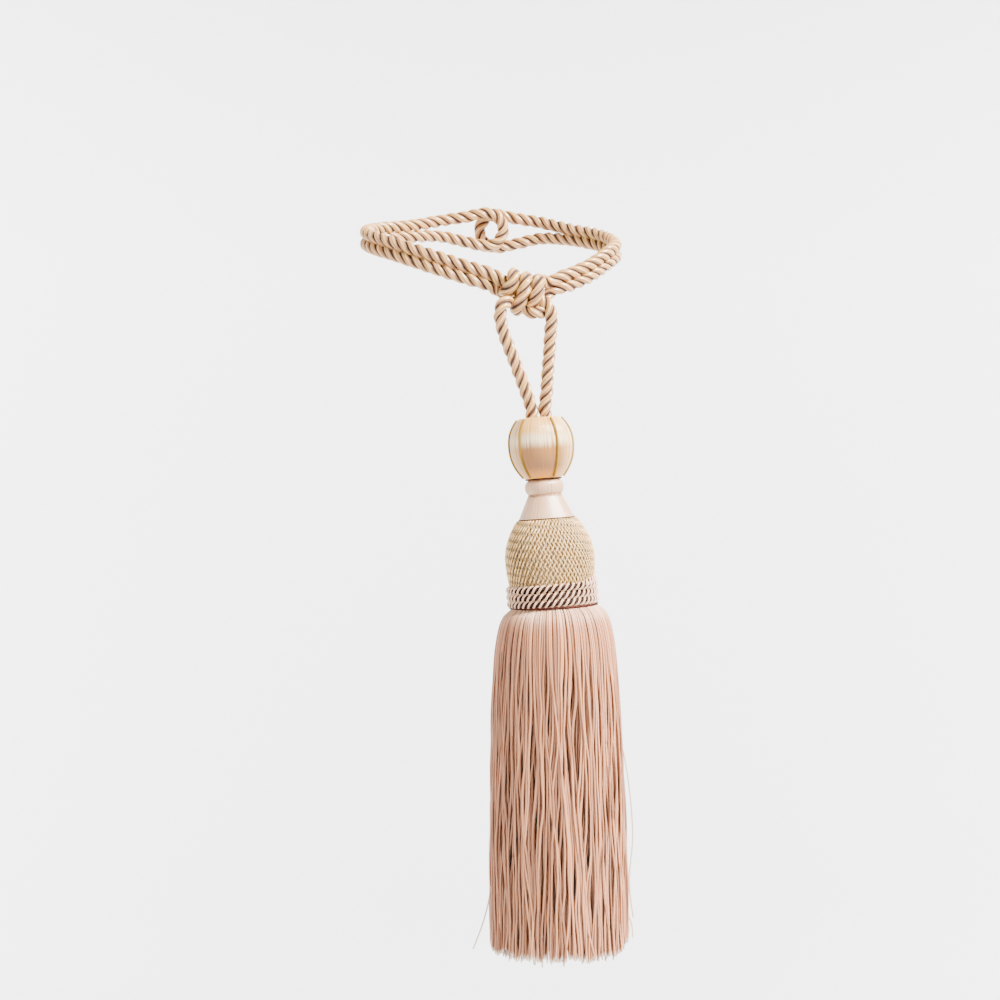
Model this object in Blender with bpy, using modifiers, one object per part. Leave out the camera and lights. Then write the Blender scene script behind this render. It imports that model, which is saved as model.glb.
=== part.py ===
"""Curtain tieback tassel: a doubled satin rope tied in a wrapped knot, and the tassel that hangs from it.

Frame: metres, +Z up, -Y towards the room. The origin is the centre of the wall hook's pin, which passes
along Y through the rope's two end eyes. The hook, the wall and the curtain are not part of the object.
"""

import math

import bpy
import numpy as np

MM = 0.001

# ---- Rope: one length of three-strand cord, both of its ends in the tassel's top ball ----
ROPE_DIAMETER = 6.2 * MM
ROPE_LEAD = 18.0 * MM            # length of one full turn of a strand
ROPE_GROOVE = 0.74               # radius between two strands, as a share of the radius over them
ROPE_STEP = 2.6 * MM             # spacing of the solid's rings along the rope
ROPE_SQUEEZE = 0.81              # the knot presses the rope to this share of its diameter
ROUTE_STEP = 0.4 * MM            # spacing at which the smooth route is first read

# ---- Tie: the doubled rope's ring, hung on the hook at its back and knotted at its front ----
RING_HALF_WIDTH = 65.4 * MM
RING_FRONT = -98.0 * MM
RING_BACK = {"left": -3.5 * MM, "right": 3.5 * MM}      # the two ears pass each other at the hook
STACK = 3.6 * MM                # each strand of a doubled ear lies this far above or below its middle
EYE_RADIUS = 9.0 * MM
EYE_TIP = 6.6 * MM               # the rope's centre at the eye's end, past the hook's centre
# Ear middles: degrees round the ring from its front, height above the hook's centre
LEFT_EAR = ((12.0, -34.6), (30.0, -27.8), (50.0, -20.9), (70.0, -15.6), (90.0, -11.1), (115.0, -6.4),
            (138.0, -2.8))
RIGHT_EAR = ((37.5, -37.7), (51.0, -31.8), (71.0, -22.6), (90.0, -16.8), (115.0, -9.4), (138.0, -3.8))

# ---- Knot: its middle, and the stretches of rope in it, from that middle ----
KNOT = np.array((18.5, -98.0, -46.0)) * MM
WRAP_HALF_DEPTH = 6.1 * MM
WRAP_SQUARENESS = 2.3            # 2 is an ellipse, more is squarer
WRAP_POINTS = 12                 # route points for each turn
# Each wrap, from right to left: the rope's centre at the wrap's top (x, z) and bottom (x, z), and how late its
# front swings over from the one to the other: 1 is evenly, more is nearer the bottom
WRAPS = (
    {"top": (5.4, 7.3), "bottom": (0.4, -10.3), "late": 5.0},
    {"top": (-0.8, 8.2), "bottom": (-6.0, -8.8), "late": 2.0},
    {"top": (-6.9, 9.8), "bottom": (-11.5, 0.5), "late": 3.0},
)
# Left leg: out of the ball, up, and over into the knot's lower half, then out low on the right
LEFT_LEG = ((-6.0, -4.2, -37.2), (-9.0, -5.0, -28.6), (-12.3, -6.2, -19.0), (-13.7, -7.8, -11.0),
            (-13.0, -8.6, -7.0), (-11.1, -7.6, -5.0), (-9.3, -3.6, -4.1), (-6.4, -0.4, -3.4),
            (-2.0, 0.2, -3.9), (1.6, 0.4, -4.9), (4.6, 1.7, -6.0), (7.3, 4.1, -6.0),
            (9.6, 6.6, -3.4), (12.2, 7.4, 0.0), (16.0, 8.2, 3.2))
# Into the first wrap from the right ear's upper strand
INTO_WRAPS = ((16.0, 7.2, 9.8), (11.6, 5.0, 7.6), (8.2, 3.1, 7.2))
# Out of the last wrap to the left ear's lower strand
OUT_OF_WRAPS = ((-13.4, 3.0, 1.4), (-16.6, 3.4, 2.9), (-21.0, 1.4, 4.6))
# Left ear's upper strand, through the knot's upper half, to the right leg
RIGHT_LEG = ((-18.2, 0.0, 10.4), (-13.2, 0.3, 7.6), (-8.9, 0.3, 4.9), (-3.0, 0.2, 2.6), (2.0, 0.2, 0.6),
             (6.6, 0.0, -1.2), (10.4, -0.6, -4.3), (12.2, -1.2, -9.6), (11.5, -1.6, -19.0),
             (10.8, -2.4, -30.0), (10.0, -2.9, -40.0), (9.6, -3.0, -48.0))

# ---- Tassel head: turned pieces threaded on one leaning axis; depths run down it from the ball's top ----
HEAD_TOP = np.array((24.1, -101.0, -108.0)) * MM
HEAD_LEAN = math.radians(4.4)
GAP = 0.3 * MM
LEG_SPREAD = 3.35 * MM           # each leg's centre from the axis, where they enter the ball
LEG_SEAT = 3.6 * MM              # depth of the ball's recess
LEG_RECESS = 7.0 * MM            # its radius
ROUND_STEPS = 28                 # flats round a turned piece

BALL_TOP_R = 10.2 * MM
BALL_MAX_R = 15.6 * MM
BALL_BOTTOM_R = 8.8 * MM
BALL_SHOULDER = 13.5 * MM        # depth of its widest ring
BALL_BOTTOM = 30.5 * MM
BALL_FULLNESS = 2.3              # how late each half curves in
GOLD_CORD_TURNS = (29.5, 91.0, 150.0, 210.0, 268.0, 319.0)      # degrees from the front, to the right
GOLD_CORD_R = 0.45 * MM

COLLAR_R = 9.75 * MM
COLLAR_ROUND = 2.9 * MM          # how far its edges are rounded over
COLLAR_BOTTOM = 39.0 * MM
CONE_TOP_R = 8.7 * MM
CONE_BOTTOM_R = 14.0 * MM
CONE_BOTTOM = 50.6 * MM
BULB_TOP_R = 14.3 * MM
BULB_MAX_R = 21.8 * MM
BULB_BOTTOM_R = 20.3 * MM
BULB_SHOULDER = 70.5 * MM
BULB_BOTTOM = 84.2 * MM
BAND_TOP = 82.8 * MM
BAND_ROWS = 3
BAND_ROW_HEIGHT = 3.9 * MM
BAND_R = 21.4 * MM               # radius of each row's centre
BAND_CORD_R = 1.9 * MM
BAND_STITCHES = 46               # slanting stitches round each row
BAND_SLANT = 1.3                 # how far each stitch leans, as a share of its own breadth
BAND_STITCH_STEPS = 2            # rings for each stitch
BAND_RELIEF = 0.24               # how far a stitch stands out, as a share of the row's radius
BAND_INNER_R = BAND_R - 1.25 * BAND_CORD_R

# ---- Skirt: yarn locks that hang plumb from a ring under the band ----
SKIRT_RING_OUTER = 18.6 * MM
SKIRT_RING_INNER = 12.6 * MM
SKIRT_RING_TOP = BULB_BOTTOM + GAP
SKIRT_RING_BOTTOM = 94.0 * MM
SKIRT_CENTRE_X = 32.3 * MM
SKIRT_HEM_X = 34.6 * MM
LOCK_SIDES = 3
HEM_RAGGED = 3.0 * MM
LOCK_SWAY = 0.12                 # how far a lock may sway, as a share of the space between two
# Rings of locks: how many, root radius, hem radius
LOCK_RINGS = (
    {"count": 78, "root": 17.8, "hem": 34.4},
    {"count": 60, "root": 15.9, "hem": 30.0},
    {"count": 42, "root": 14.0, "hem": 25.5},
)
# A lock's way down: where it is (depth on the head's axis, or height), its share of the hem's radius, its own
# radius. The root stays inside the ring, the neck clears the band, and the rest hangs plumb.
LOCK_ROOT = {"depth": 93.0, "share": None, "thick": 0.50}
LOCK_NECK = {"depth": 95.4, "share": None, "thick": 0.50}
LOCK_SHOULDER = {"depth": 96.6, "share": 0.725, "thick": 0.66}
LOCK_FALL = (
    {"height": -214.5, "share": 0.83, "thick": 0.84},
    {"height": -260.0, "share": 0.93, "thick": 1.0},
    {"height": -372.0, "share": 1.0, "thick": 1.0},
)

# ---- Colours and surfaces: base colour, roughness, metallic ----
FINISHES = {
    "rope": ((0.76, 0.58, 0.39), 0.42, 0.0),
    "satin": ((0.82, 0.67, 0.50), 0.33, 0.0),
    "satin_pale": ((0.84, 0.72, 0.64), 0.36, 0.0),
    "gold": ((0.62, 0.42, 0.08), 0.38, 0.3),
    "net": ((0.60, 0.43, 0.24), 0.50, 0.1),
    "braid": ((0.80, 0.64, 0.53), 0.50, 0.0),
    "yarn": ((0.74, 0.49, 0.35), 0.46, 0.0),
}


def clear_scene():
    for old in list(bpy.data.objects):
        bpy.data.objects.remove(old, do_unlink=True)


def make_collection(name):
    collection = bpy.data.collections.new(name)
    bpy.context.scene.collection.children.link(collection)
    return collection


def finish(obj, kind):
    """Give the object its own material."""
    colour, roughness, metallic = FINISHES[kind]
    material = bpy.data.materials.new(obj.name)
    material.use_nodes = True
    shader = material.node_tree.nodes["Principled BSDF"]
    shader.inputs["Base Color"].default_value = (*colour, 1.0)
    shader.inputs["Roughness"].default_value = roughness
    shader.inputs["Metallic"].default_value = metallic
    obj.data.materials.append(material)


def add_object(name, data, collection, parent=None):
    obj = bpy.data.objects.new(name, data)
    collection.objects.link(obj)
    obj.parent = parent
    return obj


def mesh_object(name, points, faces, collection, parent=None):
    mesh = bpy.data.meshes.new(name)
    mesh.from_pydata([tuple(p) for p in points], [], faces)
    mesh.update()
    return add_object(name, mesh, collection, parent)


# ---------------------------------------------------------------- rope

def mm_points(rows):
    return [np.array(row) * MM for row in rows]


def knot_points(rows):
    return [KNOT + point for point in mm_points(rows)]


def ear_middle(side, degrees, height):
    """A point on one ear's middle: an ellipse in plan, from the ring's front to that ear's back."""
    sign = -1.0 if side == "left" else 1.0
    half_depth = (RING_BACK[side] - RING_FRONT) / 2
    turn = math.radians(degrees)
    x = sign * RING_HALF_WIDTH * math.sin(turn)
    y = RING_FRONT + half_depth * (1 - math.cos(turn))
    return np.array((x, y, height * MM))


def ear_strand(side, rows, level):
    """One strand of a doubled ear, from the front to the back; level is +1 above and -1 below."""
    return [ear_middle(side, *row) + np.array((0.0, 0.0, level * STACK)) for row in rows]


def eye(side):
    """The loop that hangs on the hook, from its upper strand round to its lower one."""
    sign = -1.0 if side == "left" else 1.0
    y = RING_BACK[side]
    centre_x = -sign * (EYE_TIP - EYE_RADIUS)
    neck_x = sign * 3.0 * EYE_RADIUS
    neck = np.array((neck_x, y - 1.5 * MM, 0.5 * STACK))
    upper = [neck + np.array((0.0, 0.0, 0.8 * STACK)), np.array((sign * 1.5 * EYE_RADIUS, y, 0.78 * EYE_RADIUS))]
    lower = [np.array((sign * 1.5 * EYE_RADIUS, y, -0.78 * EYE_RADIUS)), neck - np.array((0.0, 0.0, 1.7 * STACK))]
    turn = []
    for degrees in (90.0, 50.0, 0.0, -50.0, -90.0):
        angle = math.radians(degrees)
        x = centre_x - sign * EYE_RADIUS * math.cos(angle)
        turn.append(np.array((x, y, EYE_RADIUS * math.sin(angle))))
    return upper + turn + lower


def wraps():
    """The turns round the knot: down each front, back up behind, and on to the next wrap's top."""
    points = []
    power = 2.0 / WRAP_SQUARENESS
    last = len(WRAPS) - 1
    for i, wrap in enumerate(WRAPS):
        bottom = wrap["bottom"]
        steps = WRAP_POINTS if i < last else WRAP_POINTS // 2 + 1
        for k in range(steps):
            turn = 2 * math.pi * k / WRAP_POINTS
            high = math.copysign(abs(math.cos(turn)) ** power, math.cos(turn))
            out = math.copysign(abs(math.sin(turn)) ** power, math.sin(turn))
            in_front = turn <= math.pi
            top = wrap["top"] if in_front else WRAPS[i + 1]["top"]
            fall = (1 - high) / 2
            swing = fall ** wrap["late"] if in_front else fall
            x = top[0] + (bottom[0] - top[0]) * swing
            z = top[1] + (bottom[1] - top[1]) * fall
            points.append(KNOT + np.array((x * MM, -WRAP_HALF_DEPTH * out, z * MM)))
    return points


def head_point(across, towards_room, depth):
    """A point of the leaning head: across and towards the room from its axis, at a depth down it."""
    x = across * math.cos(HEAD_LEAN) + depth * math.sin(HEAD_LEAN)
    z = across * math.sin(HEAD_LEAN) - depth * math.cos(HEAD_LEAN)
    return HEAD_TOP + np.array((x, -towards_room, z))


def leg_end(side):
    """The last points of a leg, from inside the ball's recess upwards."""
    sign = -1.0 if side == "left" else 1.0
    return [head_point(sign * LEG_SPREAD, 0.0, depth) for depth in (LEG_SEAT - GAP, 0.0, -4.5 * MM)]


def rope_route():
    """The rope's route from end to end, as points chosen along it and the turns that wraps() works out."""
    points = leg_end("left") + knot_points(LEFT_LEG)
    points += ear_strand("right", RIGHT_EAR, -1)
    points += eye("right")[::-1]
    points += ear_strand("right", RIGHT_EAR, 1)[::-1]
    points += knot_points(INTO_WRAPS) + wraps() + knot_points(OUT_OF_WRAPS)
    points += ear_strand("left", LEFT_EAR, -1)
    points += eye("left")[::-1]
    points += ear_strand("left", LEFT_EAR, 1)[::-1]
    points += knot_points(RIGHT_LEG) + leg_end("right")[::-1]
    return np.array(points)


def smooth(points, step):
    """Points an even step apart on the centripetal Catmull-Rom curve through the given ones."""
    before = 2 * points[0] - points[1]
    after = 2 * points[-1] - points[-2]
    p = np.vstack((before, points, after))
    fine = []
    for i in range(1, len(p) - 2):
        p0, p1, p2, p3 = p[i - 1:i + 3]
        t1 = np.linalg.norm(p1 - p0) ** 0.5
        t2 = t1 + np.linalg.norm(p2 - p1) ** 0.5
        t3 = t2 + np.linalg.norm(p3 - p2) ** 0.5
        t = np.linspace(t1, t2, 40, endpoint=False)[:, None]
        a1 = (t1 - t) / t1 * p0 + t / t1 * p1
        a2 = (t2 - t) / (t2 - t1) * p1 + (t - t1) / (t2 - t1) * p2
        a3 = (t3 - t) / (t3 - t2) * p2 + (t - t2) / (t3 - t2) * p3
        b1 = (t2 - t) / t2 * a1 + t / t2 * a2
        b2 = (t3 - t) / (t3 - t1) * a2 + (t - t1) / (t3 - t1) * a3
        fine.append((t2 - t) / (t2 - t1) * b1 + (t - t1) / (t2 - t1) * b2)
    fine = np.vstack((*fine, points[-1]))
    along = np.concatenate(((0.0,), np.cumsum(np.linalg.norm(np.diff(fine, axis=0), axis=1))))
    count = max(2, round(along[-1] / step) + 1)
    even = np.linspace(0.0, along[-1], count)
    return np.column_stack([np.interp(even, along, fine[:, axis]) for axis in range(3)])


def squeeze(point):
    """The rope's diameter at a point, as a share: pressed in the knot, full past it."""
    away = (point - KNOT) / MM
    reach = math.sqrt((away[0] / 15.0) ** 2 + (away[1] / 14.0) ** 2 + (away[2] / 14.0) ** 2)
    full = min(max((reach - 0.85) / 0.45, 0.0), 1.0)
    return ROPE_SQUEEZE + (1 - ROPE_SQUEEZE) * full * full * (3 - 2 * full)


def rope_section(guides):
    """The rope's section: three strands, each a ridge, with a groove between each two."""
    outline = bpy.data.curves.new("rope_section", "CURVE")
    outline.dimensions = "2D"
    spline = outline.splines.new("POLY")
    spline.points.add(5)
    spline.use_cyclic_u = True
    for k, point in enumerate(spline.points):
        radius = ROPE_DIAMETER / 2 * (1.0 if k % 2 == 0 else ROPE_GROOVE)
        angle = -math.pi * k / 3
        point.co = (radius * math.cos(angle), radius * math.sin(angle), 0.0, 1.0)
    guide = add_object("rope_section_guide", outline, guides)
    guide.hide_render = True
    guide.display_type = "WIRE"
    return guide


def make_rope(collection, guides):
    route = smooth(smooth(rope_route(), ROUTE_STEP), ROPE_STEP)
    data = bpy.data.curves.new("rope", "CURVE")
    data.dimensions = "3D"
    data.twist_mode = "MINIMUM"
    data.bevel_mode = "OBJECT"
    data.bevel_object = rope_section(guides)
    data.use_fill_caps = True
    spline = data.splines.new("POLY")
    spline.points.add(len(route) - 1)
    for k, (point, place) in enumerate(zip(spline.points, route)):
        point.co = (*place, 1.0)
        point.radius = squeeze(place)
        point.tilt = 2 * math.pi * k * ROPE_STEP / ROPE_LEAD
    rope = add_object("rope", data, collection)
    finish(rope, "rope")


# ---------------------------------------------------------------- head

def make_head_axis(collection):
    axis = bpy.data.objects.new("tassel_head_axis", None)
    collection.objects.link(axis)
    axis.location = HEAD_TOP
    axis.rotation_euler = (0.0, -HEAD_LEAN, 0.0)
    return axis


def turned(name, profile, kind, collection, axis):
    """A solid turned from a profile of (radius, depth) that runs down its outer side from axis to axis."""
    mesh = bpy.data.meshes.new(name)
    points = [(radius, 0.0, -depth) for radius, depth in profile]
    mesh.from_pydata(points, [(k, k + 1) for k in range(len(points) - 1)], [])
    obj = add_object(name, mesh, collection, axis)
    screw = obj.modifiers.new("turn", "SCREW")
    screw.axis = "Z"
    screw.steps = ROUND_STEPS
    screw.render_steps = ROUND_STEPS
    screw.use_merge_vertices = True
    screw.merge_threshold = 0.00001
    screw.use_smooth_shade = True
    finish(obj, kind)
    return obj


def swell(depth, top, widest, bottom, radii, fullness):
    """Radius of a bead: full at its widest ring, drawn in above and below by a power of the distance."""
    top_r, max_r, bottom_r = radii
    if depth < widest:
        return max_r - (max_r - top_r) * ((widest - depth) / (widest - top)) ** fullness
    return max_r - (max_r - bottom_r) * ((depth - widest) / (bottom - widest)) ** fullness


def ball_radius(depth):
    radii = (BALL_TOP_R, BALL_MAX_R, BALL_BOTTOM_R)
    return swell(depth, 0.0, BALL_SHOULDER, BALL_BOTTOM, radii, BALL_FULLNESS)


def make_ball(collection, axis):
    lip = 0.6 * MM
    profile = [(0.0, LEG_SEAT), (LEG_RECESS, LEG_SEAT), (LEG_RECESS, 0.0), (BALL_TOP_R - lip, 0.0)]
    profile += [(ball_radius(depth), depth) for depth in np.linspace(lip, BALL_BOTTOM, 10)]
    profile += [(0.0, BALL_BOTTOM)]
    turned("satin_ball", profile, "satin", collection, axis)


def make_gold_cords(collection, axis):
    """Gold cords laid down the ball, about evenly round it."""
    depths = np.linspace(1.0 * MM, BALL_BOTTOM - 1.2 * MM, 8)
    for k, degrees in enumerate(GOLD_CORD_TURNS):
        angle = math.radians(degrees)
        data = bpy.data.curves.new(f"gold_cord_{k + 1}", "CURVE")
        data.dimensions = "3D"
        data.bevel_depth = GOLD_CORD_R
        data.bevel_resolution = 1
        data.use_fill_caps = True
        spline = data.splines.new("POLY")
        spline.points.add(len(depths) - 1)
        for point, depth in zip(spline.points, depths):
            out = ball_radius(depth) + GOLD_CORD_R + GAP
            point.co = (out * math.sin(angle), -out * math.cos(angle), -depth, 1.0)
        obj = add_object(f"gold_cord_{k + 1}", data, collection, axis)
        finish(obj, "gold")


def make_collar(collection, axis):
    """The bead-like collar under the ball: its edges follow a quarter of an ellipse."""
    top = BALL_BOTTOM + GAP
    middle = (top + COLLAR_BOTTOM - GAP) / 2
    half = middle - top
    profile = [(0.0, top)]
    for degrees in (-90.0, -65.0, -40.0, -15.0, 15.0, 40.0, 65.0, 90.0):
        turn = math.radians(degrees)
        radius = COLLAR_R - COLLAR_ROUND * (1 - math.cos(turn))
        profile.append((radius, middle + half * math.sin(turn)))
    profile.append((0.0, COLLAR_BOTTOM - GAP))
    turned("satin_collar", profile, "satin_pale", collection, axis)


def make_cone(collection, axis):
    top = COLLAR_BOTTOM
    bottom = CONE_BOTTOM - GAP
    profile = [(0.0, top), (CONE_TOP_R, top), (CONE_TOP_R + 0.5 * MM, top + 1.2 * MM)]
    profile += [(CONE_BOTTOM_R, bottom), (0.0, bottom)]
    turned("satin_neck", profile, "satin_pale", collection, axis)


def bulb_radius(depth):
    radii = (BULB_TOP_R, BULB_MAX_R, BULB_BOTTOM_R)
    return swell(depth, CONE_BOTTOM, BULB_SHOULDER, BULB_BOTTOM, radii, 2.0)


def make_bulb(collection, axis):
    """The net-covered bulb; its lower rim is drawn in where the braid is laid round it."""
    seat = BAND_INNER_R - GAP
    depths = np.linspace(CONE_BOTTOM, BAND_TOP - GAP, 12)
    profile = [(0.0, CONE_BOTTOM)]
    profile += [(bulb_radius(depth), depth) for depth in depths]
    profile += [(seat, BAND_TOP), (seat, BULB_BOTTOM), (0.0, BULB_BOTTOM)]
    turned("net_bulb", profile, "net", collection, axis)


def make_band(collection, axis):
    """The braid round the tassel's neck: rows of slanting stitches, each raised from its row's rounded face."""
    around = BAND_STITCH_STEPS * BAND_STITCHES
    section = [(row, math.radians(lift)) for row in range(BAND_ROWS) for lift in (48.0, -48.0)]
    points = []
    for k in range(around):
        angle = 2 * math.pi * k / around
        ring = []
        for row, lift in section:
            stitch = BAND_STITCHES * angle + BAND_SLANT * lift + math.pi * row
            bulge = BAND_CORD_R * (1.0 + BAND_RELIEF * math.cos(stitch))
            centre = BAND_TOP + BAND_ROW_HEIGHT * (row + 0.5)
            ring.append((BAND_R + bulge * math.cos(lift), centre - BAND_CORD_R * math.sin(lift)))
        ring.append((BAND_INNER_R, ring[-1][1]))
        ring.append((BAND_INNER_R, ring[0][1]))
        points += [(r * math.sin(angle), -r * math.cos(angle), -depth) for r, depth in ring]
    size = len(section) + 2
    faces = []
    for k in range(around):
        here = k * size
        beyond = (k + 1) % around * size
        for j in range(size):
            following = (j + 1) % size
            faces.append((here + j, here + following, beyond + following, beyond + j))
    band = mesh_object("braid_band", points, faces, collection, axis)
    finish(band, "braid")


# ---------------------------------------------------------------- skirt

def angle_step(ring):
    return 2 * math.pi / ring["count"]


def lock_path(ring, angle, ragged, sway):
    """A lock's centres and radii: from its root in the ring, past the band's edge, and down plumb."""
    path = []
    for row in (LOCK_ROOT, LOCK_NECK, LOCK_SHOULDER):
        radius = (ring["root"] if row["share"] is None else ring["hem"] * row["share"]) * MM
        place = head_point(radius * math.sin(angle), radius * math.cos(angle), row["depth"] * MM)
        path.append((place, row["thick"] * MM))
    first = LOCK_FALL[0]["height"]
    fall = LOCK_FALL[-1]["height"] - first
    for row in LOCK_FALL:
        drop = (row["height"] - first) / fall
        turn = angle + sway * drop
        radius = ring["hem"] * row["share"] * MM
        x = SKIRT_CENTRE_X + (SKIRT_HEM_X - SKIRT_CENTRE_X) * drop + radius * math.sin(turn)
        y = HEAD_TOP[1] - radius * math.cos(turn)
        path.append((np.array((x, y, row["height"] * MM + ragged * drop)), row["thick"] * MM))
    return path


def add_lock(points, faces, path):
    """Carry a small polygon down the path, and close it at both ends."""
    first = len(points)
    last = len(path) - 1
    for centre, radius in path:
        for side in range(LOCK_SIDES):
            turn = 2 * math.pi * side / LOCK_SIDES
            points.append(centre + np.array((radius * math.cos(turn), radius * math.sin(turn), 0.0)))
    for k in range(last):
        for side in range(LOCK_SIDES):
            here = first + k * LOCK_SIDES
            beside = (side + 1) % LOCK_SIDES
            below = here + LOCK_SIDES
            faces.append((here + beside, here + side, below + side, below + beside))
    faces.append([first + side for side in range(LOCK_SIDES)])
    faces.append([first + last * LOCK_SIDES + side for side in reversed(range(LOCK_SIDES))])


def make_skirt(collection, guides, axis):
    """The skirt's ring with every lock's root run into it."""
    points = []
    faces = []
    random = np.random.default_rng(7)
    for ring in LOCK_RINGS:
        for k in range(ring["count"]):
            angle = k * angle_step(ring)
            ragged = random.uniform(-1.0, 1.0) * HEM_RAGGED
            sway = random.uniform(-1.0, 1.0) * LOCK_SWAY * angle_step(ring)
            add_lock(points, faces, lock_path(ring, angle, ragged, sway))
    locks = mesh_object("skirt_locks_guide", points, faces, guides)
    locks.hide_render = True
    locks.display_type = "WIRE"
    profile = [(SKIRT_RING_INNER, SKIRT_RING_BOTTOM), (SKIRT_RING_INNER, SKIRT_RING_TOP)]
    profile += [(SKIRT_RING_OUTER, SKIRT_RING_TOP), (SKIRT_RING_OUTER, SKIRT_RING_BOTTOM)]
    profile += [(SKIRT_RING_INNER, SKIRT_RING_BOTTOM)]
    skirt = turned("yarn_skirt", profile, "yarn", collection, axis)
    join = skirt.modifiers.new("roots", "BOOLEAN")
    join.operation = "UNION"
    join.solver = "EXACT"
    join.object = locks


def build():
    clear_scene()
    collection = make_collection("curtain_tieback_tassel")
    guides = make_collection("guides")
    make_rope(collection, guides)
    axis = make_head_axis(collection)
    make_ball(collection, axis)
    make_gold_cords(collection, axis)
    make_collar(collection, axis)
    make_cone(collection, axis)
    make_bulb(collection, axis)
    make_band(collection, axis)
    make_skirt(collection, guides, axis)


build()
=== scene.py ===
"""Looks of the curtain tieback tassel: its twisted rope, its thread-covered head and its yarn skirt.

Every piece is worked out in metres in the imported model's frame. Points and sizes of the rope and the head
are close to those of the solids, so each piece lies where the solid that it stands for does.
"""

import math

import bpy
import numpy as np
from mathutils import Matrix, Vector


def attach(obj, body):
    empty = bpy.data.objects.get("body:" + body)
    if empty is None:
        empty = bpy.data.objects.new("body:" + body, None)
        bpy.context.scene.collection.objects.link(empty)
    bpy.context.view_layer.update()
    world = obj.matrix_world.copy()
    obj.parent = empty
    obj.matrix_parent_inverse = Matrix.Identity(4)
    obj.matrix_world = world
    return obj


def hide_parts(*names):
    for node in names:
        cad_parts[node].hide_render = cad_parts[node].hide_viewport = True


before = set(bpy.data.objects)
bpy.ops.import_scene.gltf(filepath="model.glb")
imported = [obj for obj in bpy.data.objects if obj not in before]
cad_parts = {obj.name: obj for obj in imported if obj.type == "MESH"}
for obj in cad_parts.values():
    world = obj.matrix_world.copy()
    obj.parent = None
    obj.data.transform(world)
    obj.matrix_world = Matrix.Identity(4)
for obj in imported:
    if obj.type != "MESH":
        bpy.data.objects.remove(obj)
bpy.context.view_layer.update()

MM = 0.001
TURN = 2 * math.pi

# ---- Camera: level, square to the tie, at the height of the knot's legs ----
CAMERA_PLACE = (4.7 * MM, -1028.0 * MM, -149.0 * MM)
VIEW_WIDTH = 500.0 * MM          # what the picture spans at the knot
VIEW_DISTANCE = 930.0 * MM       # from the camera to the knot

# ---- Rope: one length of three-strand cord, both of its ends in the tassel's top ball ----
ROPE_RIDGES = 7.0 * MM           # its width over the ridges of its strands
ROPE_LENGTH = 1.067              # in metres, from end to end
STRAND_OFFSET = 1.50 * MM        # each strand's centre from the rope's
STRAND_R = ROPE_RIDGES / 2 - STRAND_OFFSET
STRAND_COLUMNS = 24              # points round the open side of a strand
STRAND_YARNS = 5                 # yarns that show as ridges round a strand
YARN_RELIEF = 0.22 * MM          # how deep the groove between two yarns is
YARN_LEAD = -70.0 * MM           # length of one turn of the yarns within their strand
LEG_LEAD = 17.2 * MM             # length of one turn of the strands in the legs
TIE_LEAD = 18.6 * MM             # and in the tie, which is pulled tighter
LEG_LENGTH = 90.0 * MM           # how far from the rope's ends its lead changes
ROPE_STEP = 0.92 * MM            # spacing of the mesh's rings along the rope
ROUTE_STEP = 0.4 * MM            # spacing at which the smooth route is first read
# Swells of a strand: length in millimetres, and share of its radius
STRAND_SWELLS = ((11, 0.015), (19, 0.015), (37, 0.015))

# ---- Tie: the doubled rope's ring, hung at its back and knotted at its front ----
RING_HALF_WIDTH = 65.4 * MM
RING_FRONT = -98.0 * MM
SIGN = {"left": -1.0, "right": 1.0}
RING_BACK = {"left": -3.5 * MM, "right": 3.5 * MM}
STACK = {"left": 3.0 * MM, "right": 2.9 * MM}    # each strand's height over its ear's middle
EYE_RADIUS = 9.0 * MM
EYE_TIP = 6.6 * MM               # the rope's centre at the eye's end, past the hook's centre
# Eye: points of its upper and its lower strand, across from the hook, from the ear's back and up
EYE_UPPER = ((27.0, -1.5, 4.7), (13.5, 0.0, 7.02))
EYE_LOWER = ((13.5, 0.0, -7.02), (27.0, -1.5, -4.3))
EYE_TURNS = (90.0, 50.0, 0.0, -50.0, -90.0)      # degrees of the points round its end
# Ear middles: degrees round the ring from its front, height above the hook's centre
LEFT_EAR = ((12.0, -34.6), (30.0, -27.8), (50.0, -20.9), (70.0, -15.6), (90.0, -11.1), (115.0, -6.4),
            (138.0, -2.8))
RIGHT_EAR = ((37.5, -37.7), (51.0, -31.8), (71.0, -22.6), (90.0, -16.8), (115.0, -9.4), (138.0, -3.8))

# ---- Knot: its middle, and the stretches of rope in it, from that middle ----
KNOT = np.array((18.5, -98.0, -46.0)) * MM
WRAP_HALF_DEPTH = 6.1 * MM
WRAP_SQUARENESS = 2.3            # 2 is an ellipse, more is squarer
WRAP_POINTS = 12                 # route points for each turn
# Each wrap, from right to left: the rope's centre at the wrap's top (x, z) and bottom (x, z), and how late
# its front swings over from the one to the other: 1 is evenly, more is nearer the bottom
WRAPS = (((5.4, 7.3), (2.0, -5.8), 3.0), ((-0.8, 8.2), (-5.6, -7.8), 2.0), ((-6.9, 9.8), (-11.5, 0.5), 3.0))
# Left leg: out of the ball, up, and over into the knot's lower half, then out low on the right
LEFT_LEG = ((-5.3, -4.2, -37.2), (-8.7, -5.0, -28.6), (-12.3, -6.2, -19.0), (-13.7, -7.8, -11.0),
            (-13.0, -8.6, -7.0), (-11.1, -7.6, -5.0), (-9.3, -3.6, -4.1), (-6.4, -0.4, -3.4),
            (-3.0, -0.6, -5.8), (0.4, -2.6, -8.6), (4.0, -4.2, -9.8), (7.0, -2.0, -9.3),
            (9.2, 2.4, -7.0), (9.2, 5.2, -2.6), (10.9, 6.2, 1.4), (16.0, 7.0, 3.8))
# Into the first wrap from the right ear's upper strand
INTO_WRAPS = ((16.0, 6.4, 8.9), (11.6, 4.2, 6.4), (8.2, 3.1, 6.6))
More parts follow.
